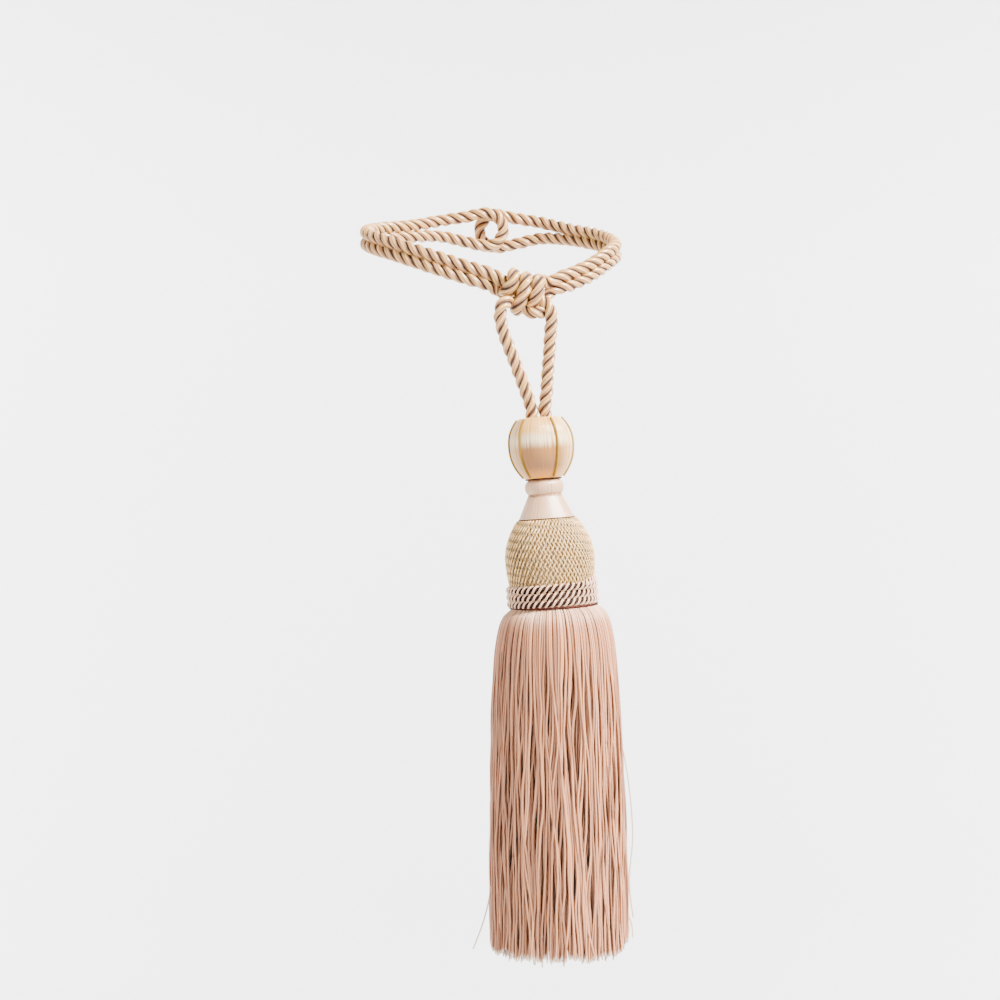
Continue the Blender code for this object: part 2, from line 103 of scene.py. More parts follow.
# Out of the last wrap to the left ear's lower strand
OUT_OF_WRAPS = ((-13.4, 3.0, 1.6), (-16.6, 3.4, 3.3), (-21.0, 1.4, 5.2))
# Left ear's upper strand, through the knot's upper half, to the right leg
RIGHT_LEG = ((-18.2, 0.0, 10.0), (-13.2, 0.3, 7.2), (-8.9, 0.3, 4.9), (-3.0, 0.2, 2.6), (2.0, -0.2, 0.4),
             (5.8, -1.4, -2.0), (9.6, -3.0, -5.8), (11.8, -3.4, -11.0), (11.4, -2.8, -19.0),
             (10.8, -2.4, -30.0), (10.0, -2.9, -40.0), (9.6, -3.0, -48.0))

# ---- Head: pieces threaded on one leaning axis; depths run down it from the ball's top ----
HEAD_TOP = np.array((24.1, -101.0, -108.0)) * MM
HEAD_LEAN = math.radians(4.4)
GAP = 0.3 * MM                   # between two pieces of the head
LEG_SPREAD = 3.35 * MM           # each leg's distance from the axis where it enters the ball
LEG_SEAT = 3.6 * MM              # how deep the legs stand in the ball
LEG_RECESS = 7.0 * MM            # radius of the ball's hollow for them

BALL_RADII = np.array((10.2, 15.6, 8.8)) * MM    # at its top, its widest ring and its bottom
BALL_SHOULDER = 13.5 * MM
BALL_BOTTOM = 30.5 * MM
BALL_FULLNESS = 2.3
BALL_THREADS = 250
THREAD_RELIEF = 0.10 * MM        # height of the threads on the ball and the bulb
BALL_LIP = 1.3 * MM              # depth at which the ball's rounded rim passes into its side
# Colours down the ball, at shares of its height: a pale band of painted highlight for the satin's sheen,
# above darker painted shade on its underside, with a warm painted reflection at its foot
BALL_STOPS = ((0.0, (0.86, 0.45, 0.12)), (0.22, (0.88, 0.47, 0.14)), (0.33, (1.0, 0.80, 0.50)),
              (0.38, (1.0, 0.80, 0.48)), (0.51, (0.37, 0.16, 0.042)), (0.80, (0.25, 0.096, 0.016)),
              (0.93, (0.68, 0.24, 0.008)), (1.0, (0.88, 0.34, 0.012)))
# Painted sheen: the ball is paler towards its left and right
BALL_SIDE_SHEEN = (0.97, 0.64, 0.29)  # colour at the ball's left and right
BALL_SHEEN = 0.4
GOLD_CORD_TURNS = (29.5, 91.0, 150.0, 210.0, 268.0, 317.5)      # degrees from the front, to the right
GOLD_PLY_R = 0.40 * MM
GOLD_PLY_OFFSET = 0.33 * MM
GOLD_LEAD = 2.2 * MM             # length of one turn of the two plies
GOLD_RINGS = 130

COLLAR_R = 9.75 * MM
COLLAR_ROUND = 2.9 * MM          # how far the collar's edges draw in
COLLAR_BOTTOM = 39.0 * MM
COLLAR_THREADS = 150
CONE_TOP_R = 8.7 * MM
CONE_BOTTOM_R = 14.0 * MM
CONE_BOTTOM = 50.6 * MM
CONE_THREADS = 170
NECK_RELIEF = 0.09 * MM          # and on the collar and the cone
NECK_SHEEN = 0.55
# Colours down the collar and the cone, at shares of their heights; the dark first stop is painted shade at
# the top of each, under the piece above it
NECK_STOPS = ((0.0, (0.36, 0.19, 0.10)), (0.06, (0.66, 0.38, 0.20)), (1.0, (0.69, 0.42, 0.25)))
BULB_RADII = np.array((14.3, 21.8, 20.3)) * MM
BULB_SHOULDER = 70.5 * MM
BULB_BOTTOM = 84.2 * MM
BULB_FULLNESS = 2.0
BULB_WINDINGS = 150
BULB_UNDER_NET = 0.35 * MM       # how far the windings lie under the net's middle
NET_THREADS = (66, 58)           # threads of the net that climb to the right, and to the left
NET_THREAD_R = 0.49 * MM
NET_LIFT = 0.20 * MM             # how far a thread rises over a crossing, and sinks under one
NET_TURN = math.radians(46.0)    # how far round a thread climbs from the bulb's bottom to its top
NET_RIDGE = math.radians(12.0)   # where the net's upper threads change from one climb to the other
NET_LEAN = 0.60                  # how much of a thread's lift follows that change
NET_WAVES = (0.4, 0.75)          # and how much follows its crossings, at least and at most
NET_UNEVEN = 0.12                # how far a thread strays, as a share of its spacing
NET_RINGS = 100
NET_SIDES = 5

BAND_TOP = 82.8 * MM
BAND_ROW_HEIGHT = 3.55 * MM
BAND_ROW_SHIFTS = (-0.35, 0.0, 0.1)              # how far each row strays down, in millimetres
BAND_ROWS_CLOSE = math.radians(70.0)             # where the rows stray most
BAND_R = 21.4 * MM               # radius of each row's centre
BAND_PLY_OFFSET = 1.2 * MM
BAND_PLY_R = 0.55 * MM
BAND_PLY_STRETCH = 1.25          # how much taller than deep the plies' turn is
# Painted shade: a dark core stands for the shade of the plies behind, where it shows between them
BAND_CORE_R = 1.5 * MM           # dark core that shows between the plies
BAND_TURNS = 22                  # turns of the two plies round one row
BAND_PLY_SIDES = 10
BAND_PLY_LINES = 7               # lines round one ply
BAND_END = (48.0, 118.0)         # degrees round the head over which the braid's end shows
BAND_END_RINGS = 120
# Dark rings in the head's joints that stand for the shade there, painted shade, the one under the braid its
# painted shadow: colour, radius, depth, thickness and how far the ring sinks on its low side, in millimetres
SHADE_RINGS = (("ball_shade_ring", "brown", 8.8, 30.6, 0.42, 0.0), ("collar_shade_ring", "tan", 8.0, 38.85, 0.62, 0.0),
         ("cone_shade_ring", "brown", 13.8, 50.5, 0.42, 0.0), ("braid_shadow_ring", "red_brown", 21.8, 93.65, 0.62, 0.75))
# Where the ring under the braid sinks lowest, the wide side of its painted shadow
SHADE_RING_LOW_SIDE = math.radians(50.0)
SHADE_RING_COLOURS = {"brown": ((0.014, 0.006, 0.003), (0.055, 0.024, 0.012)),
                "red_brown": ((0.016, 0.005, 0.003), (0.085, 0.016, 0.010)),
                "tan": ((0.30, 0.15, 0.08), (0.52, 0.29, 0.16))}

# ---- Skirt ----
SKIRT_SEED = 11
YARN_SIDES = 5
YARN_RINGS = 40
# Layers of yarn: how many, hem radius, root radius, yarn radius, how much light reaches it
YARN_LAYERS = ((158, 34.3, 19.2, 0.56, 1.0), (158, 33.2, 18.4, 0.58, 0.78), (150, 31.8, 17.4, 0.62, 0.60),
               (126, 29.8, 16.2, 0.72, 0.50), (90, 27.0, 14.8, 0.90, 0.42), (64, 22.5, 12.4, 1.30, 0.38))
# How the skirt widens: height of a station on the outer layer, and its share of the hem's radius
SKIRT_STATIONS = ((-199.4, 0.555), (-202.2, 0.60), (-204.6, 0.70), (-209.0, 0.775), (-219.0, 0.845),
                  (-240.0, 0.895), (-275.0, 0.935), (-320.0, 0.972), (-374.0, 1.0))
# Centre line of the skirt: height and x
SKIRT_CENTRES = ((-199.0, 31.1), (-204.3, 31.4), (-214.5, 31.9), (-374.0, 34.6))
# Heights between which the yarns leave their roots, begin to sway, and cease to follow the head's lean
SKIRT_ROOTS = (-199.0 * MM, -206.0 * MM)
SKIRT_LOOSE = (-206.0 * MM, -262.0 * MM)
SKIRT_LEAN = (-204.0 * MM, -250.0 * MM)
HEM_HEIGHT = -370.3 * MM
HEM_RAGGED = 1.5 * MM            # how far a yarn ends above or below the hem
HEM_RISE = 4.5 * MM              # how much higher the hem ends at the skirt's right
# Sway that neighbours share: waves round the skirt, length down it and strength, in millimetres
SHARED_SWAYS = ((5, 300, 0.6), (9, 170, 0.7), (17, 130, 0.75), (31, 95, 0.65), (43, 70, 0.5), (59, 52, 0.3))
# Each yarn's own sway sideways, and in and out: length and strength, in millimetres
OWN_SWAYS = ((210, 0.55), (95, 0.55), (47, 0.46), (23, 0.24))
OWN_PUFFS = ((160, 0.45), (61, 0.30))
YARN_DRIFT = 0.9                 # how far a yarn's tip lies to the side, in millimetres
# Stray threads: points from where each leaves the skirt to its end, in millimetres
STRAY_THREADS = (
    ((0.5, -104, -330), (-0.6, -106, -346), (-4.4, -108, -360), (-8.6, -108, -371)),
    ((62.0, -103, -262), (66.4, -104, -276), (70.6, -105, -314), (68.8, -105, -339), (70.8, -105, -356)),
    ((66.8, -100, -352), (70.2, -101, -360), (70.9, -101, -367)),
)
STRAY_STEP = 1.5 * MM
STRAY_R = 0.38 * MM

# ---- Stage and light ----
FLOOR_HEIGHT = -0.95
FLOOR_REACH = 2.6
WALL_BEND = 1.4                  # radius of the curve from the floor up to the wall
WALL_TOP = 3.2
LIT_MIDDLE = (0.02, -0.09, -0.18)
# Softboxes: place, target, size and power in watts
LIGHTS = {
    "key_softbox": ((1.25, -0.85, 1.35), LIT_MIDDLE, (0.7, 0.7), 310.0),
    "fill_softbox": ((-1.2, -1.2, 0.15), LIT_MIDDLE, (0.9, 1.2), 5.0),
    "rear_softbox": ((0.9, 1.2, 0.9), LIT_MIDDLE, (0.9, 0.9), 26.0),
    "wall_light_left": ((-1.9, 1.7, 0.6), (-0.6, 4.0, -0.1), (1.0, 1.6), 165.0),
    "wall_light_right": ((1.9, 1.7, 0.6), (0.6, 4.0, -0.1), (1.0, 1.6), 165.0),
}
WORLD_LIGHT = 0.36


# ======== shapes as arrays

def unit(vectors):
    return vectors / np.linalg.norm(vectors, axis=-1, keepdims=True)


def smooth(points, step):
    """Points an even step apart on the centripetal Catmull-Rom curve through the given ones."""
    before = 2 * points[0] - points[1]
    after = 2 * points[-1] - points[-2]
    p = np.vstack((before, points, after))
    fine = []
    for i in range(1, len(p) - 2):
        p0, p1, p2, p3 = p[i - 1:i + 3]
        t1 = np.linalg.norm(p1 - p0) ** 0.5
        t2 = t1 + np.linalg.norm(p2 - p1) ** 0.5
        t3 = t2 + np.linalg.norm(p3 - p2) ** 0.5
        t = np.linspace(t1, t2, 40, endpoint=False)[:, None]
        a1 = (t1 - t) / t1 * p0 + t / t1 * p1
        a2 = (t2 - t) / (t2 - t1) * p1 + (t - t1) / (t2 - t1) * p2
        a3 = (t3 - t) / (t3 - t2) * p2 + (t - t2) / (t3 - t2) * p3
        b1 = (t2 - t) / t2 * a1 + t / t2 * a2
        b2 = (t3 - t) / (t3 - t1) * a2 + (t - t1) / (t3 - t1) * a3
        fine.append((t2 - t) / (t2 - t1) * b1 + (t - t1) / (t2 - t1) * b2)
    fine = np.vstack((*fine, points[-1]))
    along = np.concatenate(((0.0,), np.cumsum(np.linalg.norm(np.diff(fine, axis=0), axis=1))))
    even = np.linspace(0.0, along[-1], max(2, round(along[-1] / step) + 1))
    return np.column_stack([np.interp(even, along, axis) for axis in fine.T])


def ease(low, high, values):
    """0 below low, 1 above high, and a smooth step between."""
    share = np.clip((values - low) / (high - low), 0.0, 1.0)
    return share * share * (3 - 2 * share)


def sway(random, along, waves, shape=None, low=1.0):
    """A smooth sway: the sum of one sine of the distance along for each wave's length and strength.

    Each sine has a random phase, and where low is less than 1 a random share of its strength.
    """
    total = np.zeros_like(along)
    for length, strength in waves:
        phase = random.uniform(0.0, TURN, shape)
        share = random.uniform(low, 1.0, shape) if low < 1.0 else 1.0
        total += strength * share * np.sin(TURN * along / length + phase)
    return total


def carried_round(centres, guide, radii, angles):
    """Sections carried along lines: points round each centre, in the plane across the line.

    centres is (..., rings, 3), and radii and angles are (..., rings, sides). The angles start from the
    guide without its part along the line.
    """
    along = unit(np.gradient(centres, axis=-2))
    first = unit(guide - np.sum(guide * along, axis=-1, keepdims=True) * along)
    second = np.cross(along, first)
    out = np.cos(angles)[..., None] * first[..., None, :] + np.sin(angles)[..., None] * second[..., None, :]
    return centres[..., None, :] + radii[..., None] * out


def even_angles(sides):
    """Angles that divide one turn evenly."""
    return TURN * np.arange(sides) / sides


def round_sections(centres, guide, radius, sides):
    """Round sections carried along lines, and the angles round them."""
    angles = np.broadcast_to(even_angles(sides), (*centres.shape[:-1], sides))
    return carried_round(centres, guide, np.broadcast_to(radius, angles.shape), angles), angles


def add_object(name, data):
    """An object of the scene that holds a mesh, a light or a camera."""
    made = bpy.data.objects.new(name, data)
    bpy.context.scene.collection.objects.link(made)
    return made


def tube_mesh(name, sections, **attributes):
    """A mesh of closed tubes from sections of shape (tubes, rings, sides, 3), each capped at both ends.

    Each attribute is a number for each point, of a shape that spreads to (tubes, rings, sides).
    """
    tubes, rings, sides = sections.shape[:3]
    index = np.arange(tubes * rings * sides).reshape(tubes, rings, sides)
    beside = np.roll(index, -1, axis=2)
    quads = np.stack((index[:, :-1], beside[:, :-1], beside[:, 1:], index[:, 1:]), axis=-1)
    caps = np.concatenate((index[:, 0, ::-1], index[:, -1]))
    corners = np.concatenate((quads.ravel(), caps.ravel()))
    sizes = np.concatenate((np.full(quads.size // 4, 4), np.full(len(caps), sides)))
    mesh = bpy.data.meshes.new(name)
    mesh.vertices.add(index.size)
    mesh.vertices.foreach_set("co", sections.astype(np.float32).ravel())
    mesh.loops.add(len(corners))
    mesh.loops.foreach_set("vertex_index", corners.astype(np.int32))
    mesh.polygons.add(len(sizes))
    mesh.polygons.foreach_set("loop_start", (np.cumsum(sizes) - sizes).astype(np.int32))
    mesh.update(calc_edges=True)
    mesh.shade_smooth()
    for label, values in attributes.items():
        layer = mesh.attributes.new(label, "FLOAT", "POINT")
        layer.data.foreach_set("value", np.broadcast_to(values, index.shape).astype(np.float32).ravel())
    mesh.validate()
    return add_object(name, mesh)


def dress(piece, material, slot, *nodes):
    """Give a piece its material, hang it from the root body and hide the solids that it stands for; the slot
    is not used.
    """
    piece.data.materials.append(material)
    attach(piece, "root")
    if nodes:
        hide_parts(*nodes)


def on_head(across, towards_room, depth):
    """Points of the leaning head: across and towards the room from its axis, at a depth down it."""
    x = across * math.cos(HEAD_LEAN) + depth * math.sin(HEAD_LEAN)
    z = across * math.sin(HEAD_LEAN) - depth * math.cos(HEAD_LEAN)
    return HEAD_TOP + np.stack(np.broadcast_arrays(x, -towards_room, z), axis=-1)


def round_head(radius, angle, depth):
    """Points round the head's axis: at a distance from it, an angle from the front and a depth down it."""
    return on_head(radius * np.sin(angle), radius * np.cos(angle), depth)


def swell(depth, top, widest, bottom, radii, fullness):
    """Radius of a bead: full at its widest ring, drawn in above and below by a power of the distance."""
    top_r, max_r, bottom_r = radii
    rise = np.clip(widest - depth, 0, None) / (widest - top)
    fall = np.clip(depth - widest, 0, None) / (bottom - widest)
    above = max_r - (max_r - top_r) * rise ** fullness
    below = max_r - (max_r - bottom_r) * fall ** fullness
    return np.where(depth < widest, above, below)


def rounded(corners, reach, steps=5):
    """An outline of (radius, depth) corners, each inner one a quadratic curve between cuts at its reach."""
    corners = np.array(corners, float)
    line = [corners[0]]
    for k in range(1, len(corners) - 1):
        back, here, on = corners[k - 1:k + 2]
        start = here + unit(back - here) * reach[k - 1]
        end = here + unit(on - here) * reach[k - 1]
        t = np.linspace(0.0, 1.0, steps)[:, None]
        line.extend((1 - t) ** 2 * start + 2 * t * (1 - t) * here + t * t * end)
    return np.array(line + [corners[-1]])


def threaded(name, profile, threads, relief, seed):
    """A turned piece covered in threads that run down it: the profile's radius and a ridge for each.

    A ridge is the upper half of a sine, as high as the relief at the widest ring, and each thread has its
    own random height and tone.
    """
    random = np.random.default_rng(seed)
    per_thread = 4
    columns = threads * per_thread
    angle = -even_angles(columns)
    ridge = np.abs(np.sin(np.arange(columns) * math.pi / per_thread))
    height = np.repeat(random.uniform(0.55, 1.0, threads), per_thread)
    tone = np.repeat(random.uniform(0.0, 1.0, threads), per_thread)
    radius, depth = profile.T
    spread = np.clip(radius / radius.max(), 0.0, 1.0)[:, None]
    full = np.maximum(radius[:, None] + relief * (ridge * height - 1.0) * spread, 0.01 * MM)
    points = round_head(full, angle, depth[:, None])
    down = (depth - depth.min()) / (depth.max() - depth.min())
    return tube_mesh(name, points[None], tone=tone, down=down[None, :, None], ridge=ridge * height,
                     round=angle / TURN)


# ======== materials

class Wire:
    """A socket of a material's nodes, written as a number: each operation adds one Math node."""

    def __init__(self, paint, socket):
        self.paint = paint
        self.socket = socket

    def math(self, operation, *values):
        return self.paint.node("ShaderNodeMath", {"operation": operation}, dict(enumerate(values)))

    def __add__(self, other):
        return self.math("ADD", self, other)

    def __sub__(self, other):
        return self.math("SUBTRACT", self, other)

    def __rsub__(self, other):
        return self.math("SUBTRACT", other, self)

    def __mul__(self, other):
        return self.math("MULTIPLY", self, other)

    def sine(self):
        return self.math("SINE", self)

    def size(self):
        return self.math("ABSOLUTE", self)

    def between(self, low, high):
        """0 at low, 1 at high, and a smooth step between."""
        settings = {"interpolation_type": "SMOOTHSTEP"}
        return self.paint.node("ShaderNodeMapRange", settings, {0: self, 1: low, 2: high})


class Paint:
    """A material on a Principled shader, whose other nodes are all made by node()."""

    def __init__(self, name, **constants):
        self.material = bpy.data.materials.new(name)
        self.material.use_nodes = True
        self.tree = self.material.node_tree
        self.shader = self.tree.nodes["Principled BSDF"]
        for label, value in constants.items():
            self.connect(self.shader, {label.replace("_", " ").title().replace("Ior", "IOR"): value})

    def connect(self, node, sockets):
        for key, value in sockets.items():
            if isinstance(value, Wire):
                self.tree.links.new(value.socket, node.inputs[key])
            else:
                node.inputs[key].default_value = value

    def node(self, kind, settings=None, sockets=None, output=0):
        """A new node: its settings first, or a ramp's stops, then its sockets; returns one output."""
        made = self.tree.nodes.new(kind)
        for label, value in (settings or {}).items():
            if label == "stops":
                ramp = made.color_ramp
                for k, (place, colour) in enumerate(value):
                    stop = ramp.elements[k] if k < 2 else ramp.elements.new(place)
                    stop.position = place
                    stop.color = (*colour, 1.0)
            else:
                setattr(made, label, value)
        self.connect(made, sockets or {})
        return Wire(self, made.outputs[output])

    def reading(self, label):
        """A number that the piece's mesh holds at each point."""
        return self.node("ShaderNodeAttribute", {"attribute_name": label}, output="Fac")

    def noise(self, size):
        """Noise whose lumps are about size across, from 0 to 1."""
        place = self.node("ShaderNodeTexCoord", output="Object")
        return self.node("ShaderNodeTexNoise", None, {"Vector": place, "Scale": 1.0 / size, "Detail": 2.0})

    def stripes(self, turns):
        """A sine of the turns, from 0 to 1."""
        return (turns * TURN).sine() * 0.5 + 0.5

    def mix(self, share, first, second):
        """The first colour where the share is 0, and the second where it is 1."""
        first = first if isinstance(first, Wire) else (*first, 1.0)
        second = second if isinstance(second, Wire) else (*second, 1.0)
        return self.node("ShaderNodeMix", {"data_type": "RGBA"}, {0: share, 6: first, 7: second}, output=2)

    def shade(self, share, colour):
        """The colour multiplied by a grey of that share."""
        grey = self.node("ShaderNodeCombineColor", None, {0: share, 1: share, 2: share})
        settings = {"data_type": "RGBA", "blend_type": "MULTIPLY"}
        return self.node("ShaderNodeMix", settings, {0: 1.0, 6: colour, 7: grey}, output=2)

    def finish(self, colour, roughness=None, height=None, depth=0.1 * MM):
        """Link the colour, and roughness and bump if given; returns the material."""
        self.connect(self.shader, {"Base Color": colour})
        if roughness is not None:
            self.connect(self.shader, {"Roughness": roughness})
        if height is not None:
            sockets = {"Strength": 1.0, "Distance": depth, "Height": height}
            self.connect(self.shader, {"Normal": self.node("ShaderNodeBump", None, sockets)})
        return self.material


def rope_paint():
    """Glossy champagne strands with the fine lines of their filaments in the bump; painted shade darkens
    their flanks, the creases between their yarns and most of all the grooves where two strands meet.
    """
    paint = Paint("rope_champagne", specular_ior_level=0.6)
    out = paint.reading("out")
    patch = paint.noise(9.0 * MM)
    light = paint.mix(patch.between(0.35, 0.65), (0.72, 0.42, 0.105), (0.74, 0.37, 0.13))
    # Painted shade: the strands darker on their flanks, away from their crests
    light = paint.mix(out.between(0.80, 1.0), (0.40, 0.18, 0.055), light)
    lines = paint.stripes(paint.reading("lines"))
    # Painted shade in the creases between the yarns, where the lines run
    light = paint.mix(lines.between(0.35, 0.95) * 0.8, light, (0.32, 0.14, 0.045))
    # Painted shade: dark brown in the grooves where two strands meet
    ridge = out.between(0.68, 0.88)
    colour = paint.mix(ridge, (0.040, 0.013, 0.004), light)
    return paint.finish(colour, roughness=0.9 - ridge * 0.62, height=lines, depth=0.12 * MM)


def satin_paint(name, stops, deep, sheen, sides=None):
    """Satin threads: colour stops down the piece, a tone for each thread, and a deep colour for darker
    streaks and threads and for painted shade between two threads; given sides, a painted sheen makes its
    left and right paler.
    """
    paint = Paint(name, roughness=0.26, specular_ior_level=sheen, anisotropic=0.6)
    streak = paint.node("ShaderNodeTexNoise", {"noise_dimensions": "1D"},
                        {"W": paint.reading("round"), "Scale": 60.0, "Detail": 3.0})
    down = paint.reading("down") + (streak - 0.5) * 0.12
    body = paint.node("ShaderNodeValToRGB", {"stops": stops}, {"Fac": down})
    if sides:
        # Painted sheen: paler towards the piece's left and right
        across = (paint.reading("round") * TURN).sine().size()
        body = paint.mix(across.between(0.5, 1.0) * 0.65, body, sides)
    body = paint.mix(streak.between(0.42, 0.72) * 0.55, body, deep)
    body = paint.mix(paint.reading("tone") * 0.2, body, deep)
    # Painted shade between the threads, where their ridges are low
    colour = paint.mix((1.0 - paint.reading("ridge")) * 0.2, body, deep)
    return paint.finish(colour)


def gold_paint():
    """Old gold, with painted shade between the two plies."""
    paint = Paint("gold_cord", roughness=0.5, specular_ior_level=0.25)
    # Painted shade: dark where the two plies meet
    out = paint.reading("out").between(0.35, 0.9)
    return paint.finish(paint.mix(out, (0.05, 0.020, 0.001), (0.27, 0.135, 0.002)))


def bulb_paint():
    """The bulb under the net, wound in gold-brown thread."""
    paint = Paint("bulb_gold_brown", roughness=0.45, metallic=0.1)
    body = paint.mix(paint.reading("tone"), (0.27, 0.16, 0.055), (0.36, 0.22, 0.085))
    return paint.finish(body)


def net_paint():
    """Beige net threads with a twist, with painted shade on their flanks, on their sides towards the bulb
    and where they sink under other threads.
    """
    paint = Paint("net_beige", roughness=0.29, specular_ior_level=0.4)
    twist = paint.stripes(paint.reading("along") * (1 / 1.25) + paint.reading("round"))
    tone = paint.noise(3.0 * MM).between(0.3, 0.7)
    body = paint.mix(tone, (0.92, 0.50, 0.16), (1.0, 0.66, 0.28))
    body = paint.mix(twist * 0.4, body, (0.36, 0.19, 0.06))
    # Painted shade where a thread lies low and on its flanks and inner side
    colour = paint.mix(paint.reading("over").between(0.20, 0.85), (0.21, 0.12, 0.042), body)
    return paint.finish(colour, height=twist, depth=0.12 * MM)


def braid_paint():
    """Pinkish cream plies, with dark brown painted shade on their flanks where they meet."""
    paint = Paint("braid_cream", roughness=0.36, sheen_weight=0.2)
    # Painted shade: dark where the plies turn in and meet
    out = paint.reading("out").between(0.62, 1.0)
    lines = paint.stripes(paint.reading("lines"))
    body = paint.mix(lines * 0.6, (1.0, 0.60, 0.36), (0.40, 0.18, 0.10))
    return paint.finish(paint.mix(out, (0.07, 0.025, 0.014), body), height=lines, depth=0.05 * MM)


def shade_ring_paint(name, dark, light):
    """Painted shade for a dark ring in a joint or for the braid's core, in specks of two colours."""
    paint = Paint(name, roughness=0.7, specular_ior_level=0.1)
    speck = paint.noise(0.9 * MM).between(0.42, 0.62)
    return paint.finish(paint.mix(speck, dark, light))


def yarn_paint():
    """Peach yarns: pale near the band and at the tips, rosier below it, and darkened by the light that each
    point holds, painted shade in the deeper layers and on a yarn's inner side.
    """
    paint = Paint("yarn_peach", roughness=0.36, specular_ior_level=0.35, sheen_weight=0.1,
                  sheen_roughness=0.4)
    fall = paint.reading("fall")
    tone = paint.reading("tone")
    rose = paint.mix(tone, (0.29, 0.115, 0.056), (0.68, 0.29, 0.145))
    pale = paint.mix(tone, (0.54, 0.30, 0.165), (0.88, 0.57, 0.37))
    body = paint.mix(fall.between(0.0, 0.08), pale, rose)
    body = paint.mix(paint.reading("tip") * 0.95, body, (1.0, 0.80, 0.62))
    twist = paint.stripes(paint.reading("along") * (1 / 2.4) + paint.reading("round") * 2.0)
    body = paint.mix(twist * 0.14, body, (0.34, 0.14, 0.07))
    # Painted shade: the colour times the light that the mesh holds at each point
    colour = paint.shade(paint.reading("light"), body)
    return paint.finish(colour, height=twist, depth=0.04 * MM)


# ======== camera

def make_camera():
    """A level camera that looks along Y and spans the view's width at the knot."""
    data = bpy.data.cameras.new("camera")
    data.angle = 2 * math.atan(VIEW_WIDTH / 2 / VIEW_DISTANCE)
    data.clip_start = 0.01
    data.dof.use_dof = False
    camera = add_object("camera", data)
    camera.location = CAMERA_PLACE
    camera.rotation_euler = (math.pi / 2, 0.0, 0.0)
    bpy.context.scene.camera = camera


# ======== rope

def knot_points(rows):
    """Route points from rows in millimetres from the knot's middle."""
    return list(KNOT + np.array(rows) * MM)


def ear_strand(side, rows, level):
    """One strand of a doubled ear, from the front to the back; level is +1 above and -1 below.

    The ear's middle is an ellipse in plan, from the ring's front to that ear's back.
    """
    turn, height = np.array(rows).T
    turn = np.radians(turn)
    x = SIGN[side] * RING_HALF_WIDTH * np.sin(turn)
    y = RING_FRONT + (RING_BACK[side] - RING_FRONT) / 2 * (1 - np.cos(turn))
    return list(np.column_stack((x, y, height * MM + level * STACK[side])))


def eye(side):
    """The loop that hangs on the hook, from its upper strand round to its lower one."""
    end = [(EYE_RADIUS * (1 - math.cos(turn)) - EYE_TIP, 0.0, EYE_RADIUS * math.sin(turn))
           for turn in np.radians(EYE_TURNS)]
    points = np.vstack((np.array(EYE_UPPER) * MM, end, np.array(EYE_LOWER) * MM))
    return list(points * (SIGN[side], 1.0, 1.0) + (0.0, RING_BACK[side], 0.0))


def ear(side, rows):
    """A doubled ear: out along its lower strand, round the eye and back along its upper one."""
    return ear_strand(side, rows, -1) + eye(side)[::-1] + ear_strand(side, rows, 1)[::-1]


def wraps():
    """The turns round the knot: down each front, back up behind, and on to the next wrap's top.

    Seen from the side a turn is a squared ellipse: powers of the angle's cosine and sine.
    """
    points = []
    last = len(WRAPS) - 1
    for i, (top, bottom, late) in enumerate(WRAPS):
        steps = WRAP_POINTS if i < last else WRAP_POINTS // 2 + 1
        for k in range(steps):
            turn = TURN * k / WRAP_POINTS
            high, out = (math.copysign(abs(part) ** (2 / WRAP_SQUARENESS), part)
                         for part in (math.cos(turn), math.sin(turn)))
            in_front = turn <= math.pi
            top_x, top_z = top if in_front else WRAPS[i + 1][0]
            fall = (1 - high) / 2
            swing = fall ** late if in_front else fall
            x = top_x + (bottom[0] - top_x) * swing
            z = top_z + (bottom[1] - top_z) * fall
            points.append(KNOT + np.array((x * MM, -WRAP_HALF_DEPTH * out, z * MM)))
    return points


def leg_end(side):
    """The last points of a leg, from inside the ball's recess upwards."""
    across = SIGN[side] * LEG_SPREAD
    return [on_head(across, 0.0, depth) for depth in (LEG_SEAT - GAP, 0.0, -4.5 * MM)]


def rope_route():
    """The rope's route from end to end, as points chosen along it and the turns that wraps() works out."""
    points = leg_end("left") + knot_points(LEFT_LEG) + ear("right", RIGHT_EAR)
    points += knot_points(INTO_WRAPS) + wraps() + knot_points(OUT_OF_WRAPS)
    points += ear("left", LEFT_EAR) + knot_points(RIGHT_LEG) + leg_end("right")[::-1]
    return smooth(smooth(np.array(points), ROUTE_STEP), ROPE_STEP)


def carried_normals(route):
    """A direction across the route at each point: the one before it, less its part along the route."""
    along = unit(np.gradient(route, axis=0))
    normals = [unit(np.cross(along[0], (0.0, 1.0, 0.0)))]
    for direction in along[1:]:
        before = normals[-1]
        normals.append(unit(before - direction * before.dot(direction)))
    return np.array(normals)


def strand_turn(along):
    """How far the strands have turned at each place: the sum of each step over the lead there."""
    from_end = np.minimum(along, along[-1] - along)
    lead = LEG_LEAD + (TIE_LEAD - LEG_LEAD) * ease(0.8 * LEG_LENGTH, 1.2 * LEG_LENGTH, from_end)
    return TURN * np.cumsum(np.gradient(along) / lead)


